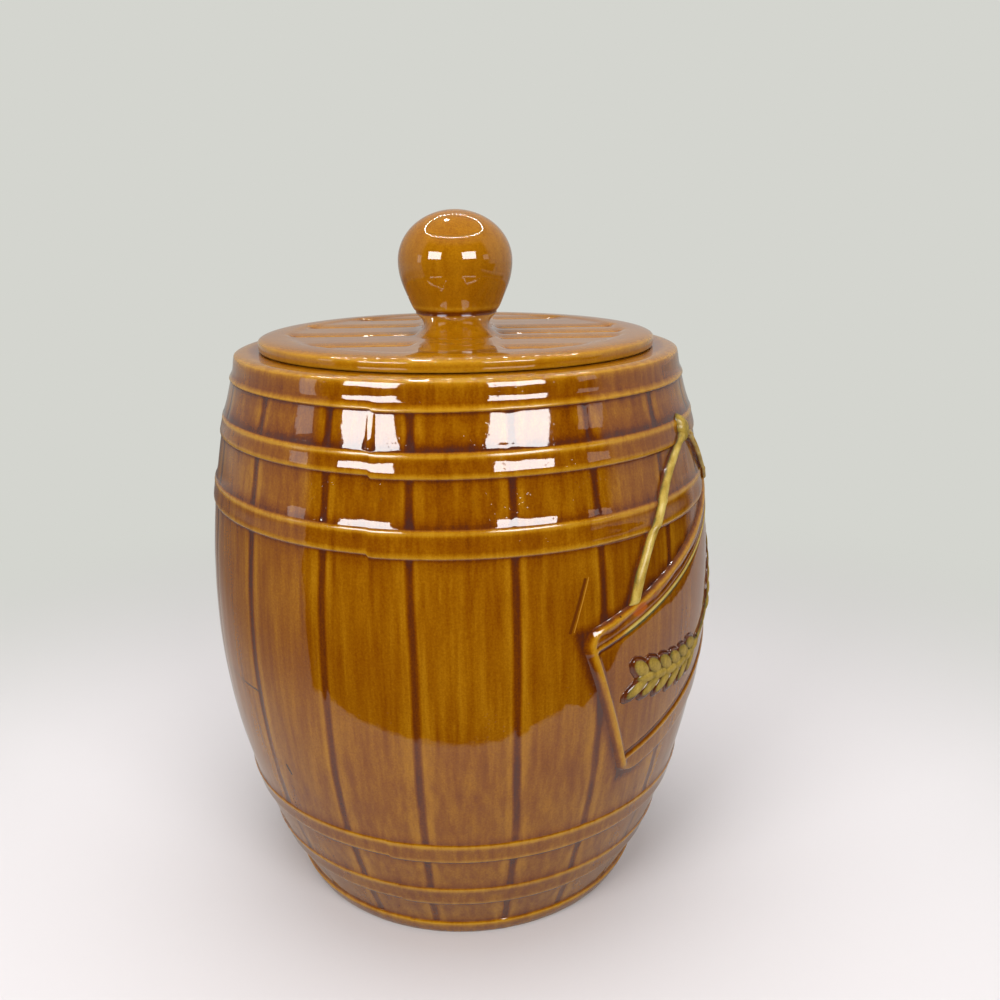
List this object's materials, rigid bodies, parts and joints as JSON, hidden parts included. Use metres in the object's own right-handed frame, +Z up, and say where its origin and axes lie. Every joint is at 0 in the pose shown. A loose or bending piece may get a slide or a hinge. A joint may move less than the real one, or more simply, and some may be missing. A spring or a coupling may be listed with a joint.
{
  "type": "biscuit jar",
  "caption": "Barrel-shaped glazed earthenware biscuit jar with raised hoops, a hanging sign in relief and a lift-off lid with a ball knob.",
  "frame": {"origin": "centre of the foot ring, on the plane that the jar stands on", "axes": "+Z up along the jar's axis; -Y the front, +X to the right of the front, towards the hanging sign"},
  "size_m": [0.1893, 0.1878, 0.2543],
  "materials": {
    "amber_glaze": "glossy translucent amber-brown glaze over cream earthenware, opaque overall; unglazed foot ring",
    "lid_amber_glaze": "the same glossy amber-brown glaze, opaque overall"
  },
  "bodies": {
    "jar": {"jar_body": "amber_glaze"},
    "lid": {"lid": "lid_amber_glaze"}
  },
  "joints": [
    {"name": "lid_lift", "type": "slide", "parent": "jar", "child": "lid", "axis": [0, 0, 1], "range_m": [0, 0.1]}
  ]
}
